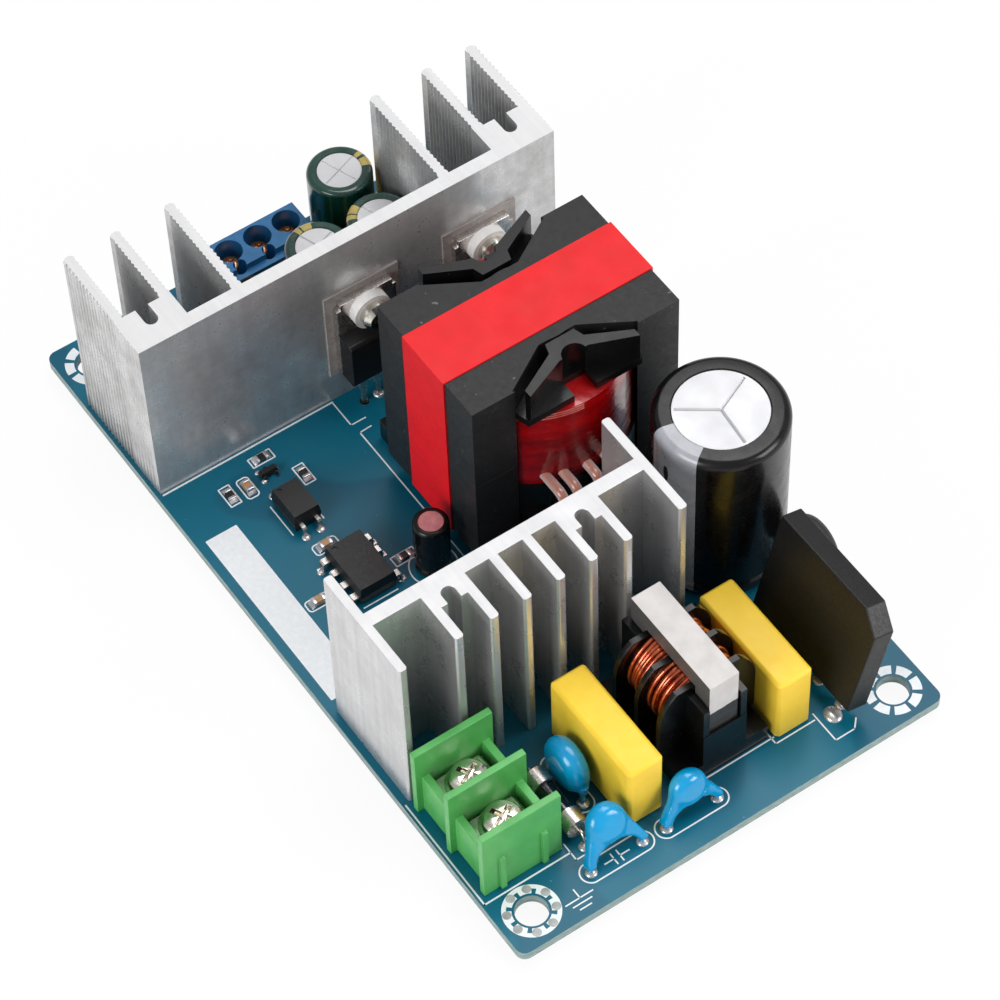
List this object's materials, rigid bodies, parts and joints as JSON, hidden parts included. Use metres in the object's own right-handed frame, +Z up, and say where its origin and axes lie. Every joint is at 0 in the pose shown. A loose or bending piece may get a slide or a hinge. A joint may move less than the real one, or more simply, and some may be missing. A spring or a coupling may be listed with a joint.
{
  "type": "open frame power supply",
  "caption": "Open frame switching power supply: a board with transformer, two finned heatsinks, capacitors, mains filter choke and screw terminals.",
  "frame": {"origin": "centre of the four mounting holes, on the underside of the board", "axes": "+X along the board towards the mains input end, +Z up out of the component side of the board"},
  "size_m": [0.126, 0.072, 0.0415],
  "materials": {
    "board_mask": "glossy solder mask over glass laminate",
    "extruded_aluminium": "raw extruded, lightly scratched",
    "tinned_metal": "tinned",
    "ferrite": "fine grained, matt",
    "red_tape": "smooth polyester tape",
    "black_moulding": "satin moulding",
    "black_sleeve": "glossy heat-shrunk sleeve",
    "green_sleeve": "glossy heat-shrunk sleeve",
    "yellow_case": "satin moulding",
    "blue_coating": "glossy dipped epoxy",
    "dark_coating": "dull dipped coating",
    "clear_glass": "clear",
    "epoxy": "fine matt moulding compound",
    "painted_ferrite": "pale cover over dark ferrite",
    "copper_wire": "enamelled copper, glossy",
    "green_housing": "satin moulding",
    "blue_housing": "satin moulding",
    "zinc_screw": "zinc plated",
    "pad_film": "silicone film",
    "white_nylon": "matt",
    "clear_sleeving": "translucent sleeving over copper",
    "chip_ceramic": "fired ceramic"
  },
  "bodies": {
    "root": {"circuit_board": "board_mask", "output_heatsink": "extruded_aluminium", "input_heatsink": "extruded_aluminium", "heatsink_pins": "tinned_metal", "transformer_core_upper": "ferrite", "transformer_core_lower": "ferrite", "transformer_tape": "red_tape", "transformer_bobbin": "black_moulding", "transformer_winding": "red_tape", "transformer_pins": "tinned_metal", "transformer_leads": "clear_sleeving", "bulk_capacitor": "black_sleeve", "film_capacitor_front": "yellow_case", "film_capacitor_rear": "yellow_case", "output_capacitor_1": "green_sleeve", "output_capacitor_2": "green_sleeve", "output_capacitor_3": "green_sleeve", "supply_capacitor": "black_sleeve", "safety_capacitor_1": "blue_coating", "safety_capacitor_2": "blue_coating", "surge_absorber": "blue_coating", "inrush_limiter": "dark_coating", "fuse_glass": "clear_glass", "fuse_caps": "tinned_metal", "fuse_wire": "tinned_metal", "bridge_rectifier": "epoxy", "bridge_leads": "tinned_metal", "choke_core": "painted_ferrite", "choke_bobbin": "black_moulding", "choke_windings": "copper_wire", "input_terminal_housing": "green_housing", "input_terminal_contacts": "tinned_metal", "input_terminal_clamps": "zinc_screw", "input_terminal_screws": "zinc_screw", "output_terminal_housing": "blue_housing", "output_terminal_contacts": "tinned_metal", "output_terminal_screws": "zinc_screw", "output_choke_core": "ferrite", "output_choke_sleeve": "black_sleeve", "rectifier_left": "epoxy", "rectifier_left_frame": "tinned_metal", "rectifier_right": "epoxy", "rectifier_right_frame": "tinned_metal", "switching_transistor": "epoxy", "switching_transistor_frame": "tinned_metal", "insulating_pads": "pad_film", "insulating_bushings": "white_nylon", "transistor_screws": "zinc_screw", "optocoupler": "epoxy", "optocoupler_leads": "tinned_metal", "controller": "epoxy", "controller_leads": "tinned_metal", "voltage_reference": "epoxy", "chip_resistors": "chip_ceramic", "chip_capacitors": "chip_ceramic", "component_leads": "tinned_metal", "solder_joints": "tinned_metal"}
  },
  "joints": []
}
